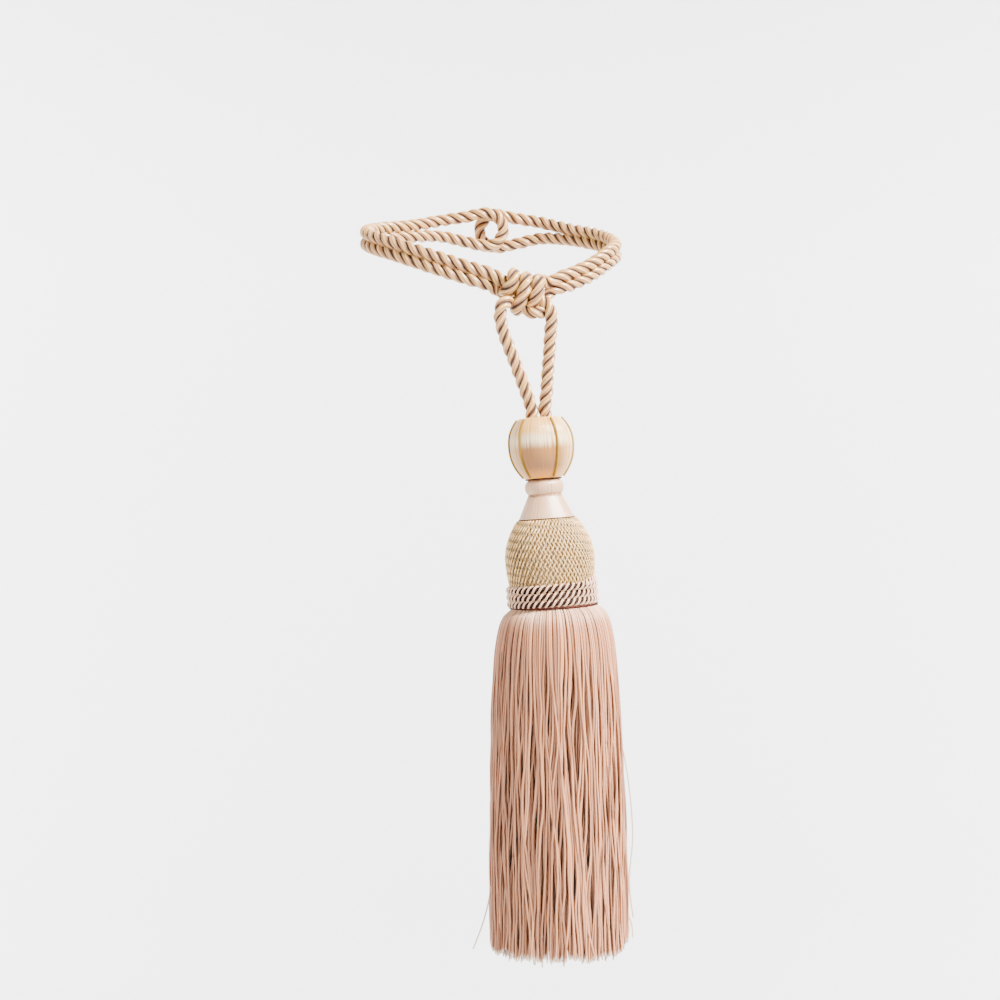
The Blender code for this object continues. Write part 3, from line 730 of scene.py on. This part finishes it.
def make_rope():
    """Three round strands twisted together, as one surface.

    A strand is a circle about a centre that turns round the rope. It is open from where it meets the strand
    before it to where it meets the next, and its yarns are low ridges that turn slowly along it.
    """
    random = np.random.default_rng(3)
    route = rope_route()
    along = np.arange(len(route)) * ROPE_LENGTH / (len(route) - 1)
    normals = carried_normals(route)
    meeting = math.pi / 3 + math.asin(math.sqrt(3) / 2 * STRAND_OFFSET / STRAND_R)
    open_side = np.linspace(-meeting, meeting, STRAND_COLUMNS, endpoint=False) + meeting / STRAND_COLUMNS
    yarn = STRAND_YARNS * (open_side[None, :] - TURN * along[:, None] / YARN_LEAD) / 2
    swell = np.array([sway(random, along / MM, STRAND_SWELLS) for _ in range(3)])
    yarn_ridges = YARN_RELIEF * (np.abs(np.cos(yarn)) - 1)
    radius = STRAND_R * (1 + swell.T[:, :, None]) + yarn_ridges[:, None, :]
    x = (STRAND_OFFSET + radius * np.cos(open_side)).reshape(len(route), -1)
    y = (radius * np.sin(open_side)).reshape(len(route), -1)
    strand_angle = np.repeat(even_angles(3), STRAND_COLUMNS)
    out = np.hypot(x, y)
    angles = np.arctan2(y, x) + strand_angle + strand_turn(along)[:, None]
    sections = carried_round(route, normals, out, angles)
    rope = tube_mesh("rope_strands", sections[None], out=out / (ROPE_RIDGES / 2),
                     lines=np.tile(yarn / math.pi - 0.25, 3))
    dress(rope, rope_paint(), "rope", "rope")


# ======== head

def ball_radius(depth):
    return swell(depth, 0.0, BALL_SHOULDER, BALL_BOTTOM, BALL_RADII, BALL_FULLNESS)


def bulb_radius(depth):
    return swell(depth, CONE_BOTTOM, BULB_SHOULDER, BULB_BOTTOM, BULB_RADII, BULB_FULLNESS)


def make_ball():
    """The ball: a hollow for the rope, a rounded rim, the swelling side and a small foot."""
    depths = np.linspace(BALL_LIP, BALL_BOTTOM - 0.6 * MM, 34)
    corners = ((LEG_RECESS - 0.1 * MM, LEG_SEAT), (LEG_RECESS, 0.0), (BALL_RADII[0], 0.0),
               (ball_radius(BALL_LIP), BALL_LIP))
    rim = rounded(corners, (0.9 * MM, 0.9 * MM), steps=6)
    side = np.column_stack((ball_radius(depths), depths))
    corners = (side[-1], (BALL_RADII[2], BALL_BOTTOM), (1.0 * MM, BALL_BOTTOM))
    foot = rounded(corners, (0.5 * MM,), steps=3)
    profile = np.vstack(((0.5 * MM, LEG_SEAT), rim[:-1], side, foot[1:]))
    ball = threaded("ball_threads", profile, BALL_THREADS, THREAD_RELIEF, 21)
    paint = satin_paint("satin_champagne", BALL_STOPS, (0.26, 0.105, 0.035), BALL_SHEEN, BALL_SIDE_SHEEN)
    dress(ball, paint, "satin", "satin_ball")


def two_plies(centres, across, guide, ply_r, offset, turn, sides, stretch=1.0):
    """Two plies laid round each other: each ply's centre circles the line, half a turn from the other's.

    centres is the line, and across and guide are square to it; the circle is longer across by the stretch.
    Returns the sections, how far out each of their points lies from the line, and the angles round a ply.
    """
    sections, outs = [], []
    for phase in (0.0, math.pi):
        around = np.cos(turn + phase)[:, None] * guide + stretch * np.sin(turn + phase)[:, None] * across
        section, angles = round_sections(centres + offset * around, guide, ply_r, sides)
        sections.append(section)
        outs.append(np.linalg.norm(section - centres[:, None], axis=-1) / (ply_r + offset))
    return np.array(sections), np.array(outs), angles


def make_gold_cords():
    """Two-ply gold cords laid down the ball, about evenly round it."""
    paint = gold_paint()
    depths = np.linspace(0.7 * MM, BALL_BOTTOM - 0.9 * MM, GOLD_RINGS)
    for k, degrees in enumerate(GOLD_CORD_TURNS):
        angle = math.radians(degrees)
        out = ball_radius(depths) + GOLD_PLY_OFFSET
        centres = round_head(out, angle, depths)
        beside = on_head(math.cos(angle), -math.sin(angle), 0.0) - HEAD_TOP
        outward = unit(np.cross(beside, unit(np.gradient(centres, axis=0))))
        turn = TURN * np.arange(len(depths)) * (BALL_BOTTOM / len(depths)) / GOLD_LEAD
        sections, outs, _ = two_plies(centres, beside, outward, GOLD_PLY_R, GOLD_PLY_OFFSET, turn, 7)
        cord = tube_mesh(f"gold_twist_{k + 1}", sections, out=outs)
        dress(cord, paint, "gold", f"gold_cord_{k + 1}")


def make_collar(paint):
    """The bead-like collar under the ball: its edges follow a quarter of an ellipse."""
    top = BALL_BOTTOM + GAP
    bottom = COLLAR_BOTTOM - GAP
    turn = np.linspace(-math.pi / 2, math.pi / 2, 21)
    side = np.column_stack((COLLAR_R - COLLAR_ROUND * (1 - np.cos(turn)),
                            (top + bottom) / 2 + (bottom - top) / 2 * np.sin(turn)))
    profile = np.vstack(((1.0 * MM, top), side, (1.0 * MM, bottom)))
    collar = threaded("collar_threads", profile, COLLAR_THREADS, NECK_RELIEF, 22)
    dress(collar, paint, "satin_pale", "satin_collar")


def make_cone(paint):
    """The cone under the collar: straight sides between rounded edges."""
    top = COLLAR_BOTTOM
    bottom = CONE_BOTTOM - GAP
    corners = ((1.0 * MM, top), (CONE_TOP_R, top), (CONE_TOP_R + 0.5 * MM, top + 1.2 * MM),
               (CONE_BOTTOM_R, bottom), (1.0 * MM, bottom))
    profile = rounded(corners, (0.4 * MM, 0.5 * MM, 0.35 * MM))
    cone = threaded("cone_threads", profile, CONE_THREADS, NECK_RELIEF, 23)
    dress(cone, paint, "satin_pale", "satin_neck")


def make_bulb():
    """The wound bulb, a little inside the line of the net that covers it."""
    foot = BAND_TOP + 1.0 * MM
    depths = np.linspace(CONE_BOTTOM, foot, 30)
    side = np.column_stack((bulb_radius(depths) - BULB_UNDER_NET, depths))
    profile = np.vstack(((1.0 * MM, CONE_BOTTOM), side, (1.0 * MM, foot)))
    bulb = threaded("bulb_windings", profile, BULB_WINDINGS, THREAD_RELIEF, 24)
    dress(bulb, bulb_paint(), "net", "net_bulb")


def make_net():
    """The net: threads that climb both ways, each over and under the others in turn.

    A thread's turn round the bulb grows evenly with its depth. The threads that it crosses are numbered,
    and its distance from the bulb follows a cosine that is highest over every other number. Left of the
    net's ridge the threads that climb to the right lie a little higher, and right of it the others do.
    """
    share = np.linspace(0.0, 1.0, NET_RINGS)
    depth = CONE_BOTTOM + GAP + share * (BAND_TOP - CONE_BOTTOM)
    tilt = np.gradient(bulb_radius(depth), depth)
    random = np.random.default_rng(25)
    parts = []
    for climb, count, others in ((1.0, *NET_THREADS), (-1.0, *NET_THREADS[::-1])):
        number = np.arange(count)[:, None]
        climbed = climb * NET_TURN * (share - 0.5)
        angle = number * TURN / count + climbed
        crossed = (angle + climbed) * others / TURN
        lift = climb * np.cos(math.pi * (crossed + number)) * random.uniform(*NET_WAVES, (count, 1))
        lift = lift + NET_LEAN * climb * np.sin(angle - NET_RIDGE)
        angle = angle + random.uniform(-NET_UNEVEN, NET_UNEVEN, (count, 1)) * TURN / count
        centres = round_head(bulb_radius(depth) + NET_LIFT * lift, angle, depth)
        outward = round_head(1.0, angle, -tilt) - HEAD_TOP
        section, turn = round_sections(centres, outward, NET_THREAD_R, NET_SIDES)
        # Painted shade: lower where a thread sinks under a crossing, and on its flanks and its side towards
        # the bulb
        over = (lift + 1)[..., None] / 2 * (0.6 + 0.4 * np.cos(turn))
        parts.append((section, over, turn / TURN))
    sections, over, rounds = (np.concatenate(part) for part in zip(*parts))
    net = tube_mesh("bulb_net", sections, over=over, round=rounds, along=(depth / MM)[None, :, None])
    dress(net, net_paint(), "net")


def braid_row(angle, depth, radius):
    """Two plies along a line round the head: sections, how far out each point is, and lines round a ply."""
    outward = round_head(1.0, angle, 0.0) - HEAD_TOP
    down = on_head(0.0, 0.0, 1.0) - HEAD_TOP
    centres = round_head(radius, angle, depth)
    turn = -BAND_TURNS * angle
    sections, out, around = two_plies(centres, down, outward, BAND_PLY_R, BAND_PLY_OFFSET, turn,
                                      BAND_PLY_SIDES, BAND_PLY_STRETCH)
    return sections, out, np.broadcast_to(around * BAND_PLY_LINES / TURN, out.shape)


def plain_ring(name, angle, depth, radius, thick, sides=8):
    """A plain round tube that runs round the head."""
    outward = round_head(1.0, angle, 0.0) - HEAD_TOP
    sections, _ = round_sections(round_head(radius, angle, depth), outward, thick, sides)
    return tube_mesh(name, sections[None])


def make_band():
    """The braid: three rows of two-ply cord, and its end, which rises over the first row and tucks in.

    The rows lie closer on the left and spread on the right, by a cosine of the angle round the head.
    """
    paint = braid_paint()
    # Painted shade: the core's dark colour stands for the shade of the plies behind
    dark = shade_ring_paint("braid_core_painted_shade", (0.012, 0.005, 0.003), (0.035, 0.014, 0.008))
    angle = np.linspace(0.0, TURN, BAND_TURNS * 22 + 1)
    spread = 0.3 + 0.7 * np.cos(angle - BAND_ROWS_CLOSE)
    parts = []
    for row, shift in enumerate(BAND_ROW_SHIFTS):
        depth = BAND_TOP + BAND_ROW_HEIGHT * (row + 0.5) + shift * MM * spread
        parts.append(braid_row(angle, depth, BAND_R))
        core = plain_ring(f"braid_core_{row + 1}", -angle, depth, BAND_R - 0.6 * MM, BAND_CORE_R)
        dress(core, dark, "braid")
    sections, out, lines = (np.concatenate(part) for part in zip(*parts))
    band = tube_mesh("braid_rows", sections, out=out, lines=lines)
    dress(band, paint, "braid", "braid_band")

    tail_angle = np.linspace(*np.radians(BAND_END), BAND_END_RINGS)
    rise = np.sin(np.linspace(0.0, math.pi, BAND_END_RINGS)) ** 0.8
    tail_depth = BAND_TOP + 0.9 * MM - 2.0 * MM * rise
    sections, out, lines = braid_row(tail_angle, tail_depth, BAND_R - 0.6 * MM)
    tail = tube_mesh("braid_end", sections, out=out, lines=lines)
    dress(tail, paint, "braid")


def make_shade_rings():
    """Painted shade in the head's joints: plain dark rings, one of which, the painted shadow under the
    braid, sinks by a cosine of the angle.
    """
    paints = {colour: shade_ring_paint(f"shade_ring_{colour}", *pair) for colour, pair in SHADE_RING_COLOURS.items()}
    angle = -np.linspace(0.0, TURN, 181)
    for name, colour, radius, depth, thick, sag in SHADE_RINGS:
        depth = depth + sag * np.cos(angle - SHADE_RING_LOW_SIDE)
        dress(plain_ring(name, angle, depth * MM, radius * MM, thick * MM, 6), paints[colour], "net")


# ======== skirt

def layer_paths(count, hem, root, random):
    """Centres of one layer's yarns, of shape (yarns, rings, 3), and each ring's height share.

    A yarn's distance from the skirt's centre line is its layer's hem radius times the share that the
    stations give at its height. Its angle wanders, with its neighbours and a little by itself.
    """
    stations = np.array(SKIRT_STATIONS) * (MM, 1.0)
    base = TURN * (np.arange(count) + random.uniform(-0.42, 0.42, count)) / count
    ends = HEM_HEIGHT + random.uniform(-HEM_RAGGED, HEM_RAGGED, count) - random.exponential(0.6 * MM, count)
    ends = ends + HEM_RISE * ease(0.75, 1.0, np.sin(base))
    share = np.append(np.linspace(0.0, 1.0, YARN_RINGS - 1) ** 1.5, 1.0)
    share[-2] = 0.986
    height = stations[0, 0] + (ends[:, None] - stations[0, 0]) * share

    fine = smooth(stations * (1.0, 0.05), 0.5 * MM)
    widen = np.interp(-height, -fine[:, 0], fine[:, 1] / 0.05)
    near_root = 1.0 - ease(*SKIRT_ROOTS, height)
    radius = hem * widen + near_root * (root - hem * stations[0, 1])

    together = np.zeros_like(height)
    for ripples, length, strength in SHARED_SWAYS:
        phase = random.uniform(0.0, TURN)
        together += strength * np.sin(ripples * base[:, None] + phase + TURN * height / (length * MM))
    alone = sway(random, height / MM, OWN_SWAYS, (count, 1), 0.3)
    drift = random.normal(0.0, YARN_DRIFT, (count, 1)) * share
    loose = ease(*SKIRT_LOOSE, height)
    angle = base[:, None] + loose * (together + alone + drift) * MM / hem
    radius += loose * sway(random, height / MM, OWN_PUFFS, (count, 1)) * MM

    centres = np.array(SKIRT_CENTRES) * MM
    middle = np.interp(-height, -centres[:, 0], centres[:, 1])
    across = radius * np.sin(angle)
    lean = 1.0 - ease(*SKIRT_LEAN, height)
    x = middle + across
    y = HEAD_TOP[1] - radius * np.cos(angle)
    z = height + lean * across * math.tan(HEAD_LEAN)
    return np.stack((x, y, z), axis=-1), angle, share


def yarn_sections(centres, angle, thick, random):
    """Round sections along the yarns, a little thinner at the root and at the cut tip.

    Returns the sections, each ring's distance along its yarn and to its tip, and the angles round it.
    """
    count = len(centres)
    outward = np.stack((np.sin(angle), -np.cos(angle), 0.0 * angle), axis=-1)
    steps = np.linalg.norm(np.diff(centres, axis=1), axis=-1)
    along = np.concatenate((np.zeros((count, 1)), np.cumsum(steps, axis=1)), axis=1)
    to_tip = along[:, -1:] - along
    size = thick * random.uniform(0.82, 1.16, (count, 1))
    size = size * (0.75 + 0.25 * ease(0.0, 1.5 * MM, to_tip)) * (0.8 + 0.2 * ease(0.0, 12 * MM, along))
    sections, turn = round_sections(centres, outward, size[..., None], YARN_SIDES)
    return sections, along, to_tip, turn


def make_skirt():
    """The yarns, layer by layer: less light reaches a deeper layer and a yarn's inner side."""
    random = np.random.default_rng(SKIRT_SEED)
    paint = yarn_paint()
    for k, (count, hem, root, thick, reach) in enumerate(YARN_LAYERS):
        centres, angle, share = layer_paths(count, hem * MM, root * MM, random)
        sections, along, to_tip, turn = yarn_sections(centres, angle, thick * MM, random)
        tone = random.uniform(0.0, 1.0, (count, 1, 1))
        # The light painted into the colour: less in a deeper layer and on a yarn's inner side, more near the
        # band and at the tip
        glow = reach * random.uniform(0.86, 1.0, (count, 1, 1))
        near_band = 0.5 * (1 - ease(8 * MM, 30 * MM, along))
        near_tip = 0.85 * (1 - ease(0.0, 3.2 * MM, to_tip))
        light = glow + (1 - glow) * np.maximum(near_band, near_tip)[..., None]
        light = light * (0.40 + 0.80 * (0.5 + 0.5 * np.cos(turn)) ** 2)
        piece = tube_mesh(f"skirt_yarns_{k + 1}", sections, tone=tone, light=light,
                          fall=share[None, :, None], tip=1 - ease(0.2 * MM, 2.4 * MM, to_tip)[..., None],
                          along=along[..., None] / MM + random.uniform(0.0, 9.0, (count, 1, 1)),
                          round=turn / TURN)
        nodes = ("yarn_skirt",) if k == 0 else ()
        dress(piece, paint, "yarn", *nodes)


def make_stray_threads():
    """The threads that hang away from the skirt, each smooth through its points."""
    paint = yarn_paint()
    for k, row in enumerate(STRAY_THREADS):
        line = smooth(np.array(row) * MM, STRAY_STEP)
        sections, turn = round_sections(line, np.array((0.0, -1.0, 0.0)), STRAY_R, YARN_SIDES)
        along = np.arange(len(line)) * (STRAY_STEP / MM)
        stray = tube_mesh(f"stray_thread_{k + 1}", sections[None], tone=0.7, light=1.0, fall=0.03, tip=0.3,
                          along=along[None, :, None], round=turn / TURN)
        dress(stray, paint, "yarn")


# ======== stage and light

def make_stage():
    """A plain pale floor that curves up all round into a wall, so that every view has the same ground.

    Its outline, turned round the middle, is a level line, a quarter circle and an upright line.
    """
    bend = np.linspace(0.0, math.pi / 2, 14)
    radius = np.concatenate(((0.01,), FLOOR_REACH + WALL_BEND * np.sin(bend), (FLOOR_REACH + WALL_BEND,)))
    height = np.concatenate(((FLOOR_HEIGHT,), FLOOR_HEIGHT + WALL_BEND * (1 - np.cos(bend)), (WALL_TOP,)))
    angle = even_angles(96)[:, None]
    points = np.stack(np.broadcast_arrays(radius * np.cos(angle), radius * np.sin(angle), height), axis=-1)
    index = np.arange(points.size // 3).reshape(points.shape[:2])
    beside = np.roll(index, -1, axis=0)
    quads = np.stack((index[:, :-1], index[:, 1:], beside[:, 1:], beside[:, :-1]), axis=-1)
    middle = index[:, 0].tolist()
    mesh = bpy.data.meshes.new("floor_and_wall")
    mesh.from_pydata(points.reshape(-1, 3).tolist(), [], quads.reshape(-1, 4).tolist() + [middle])
    mesh.shade_smooth()
    stage = add_object("floor_and_wall", mesh)
    paint = Paint("stage_white", roughness=0.9)
    mesh.materials.append(paint.finish((0.86, 0.86, 0.86, 1.0)))


def make_light():
    """Softboxes, each turned to its target: a large key from the right, a weak fill and one from behind.

    Two more light the wall, and a white world lights everything a little.
    """
    for name, (place, target, size, power) in LIGHTS.items():
        data = bpy.data.lights.new(name, "AREA")
        data.shape = "RECTANGLE"
        data.size, data.size_y = size
        data.energy = power
        light = add_object(name, data)
        light.location = place
        light.rotation_euler = (Vector(target) - Vector(place)).to_track_quat("-Z", "Y").to_euler()
    world = bpy.data.worlds.new("studio")
    world.use_nodes = True
    back = world.node_tree.nodes["Background"]
    back.inputs["Color"].default_value = (1.0, 1.0, 1.0, 1.0)
    back.inputs["Strength"].default_value = WORLD_LIGHT
    bpy.context.scene.world = world


# ======== the whole

make_camera()
make_rope()
make_ball()
make_gold_cords()
pale = satin_paint("satin_pale_pink", NECK_STOPS, (0.30, 0.15, 0.085), NECK_SHEEN)
make_collar(pale)
make_cone(pale)
make_bulb()
make_net()
make_band()
make_shade_rings()
make_skirt()
make_stray_threads()
make_stage()
make_light()
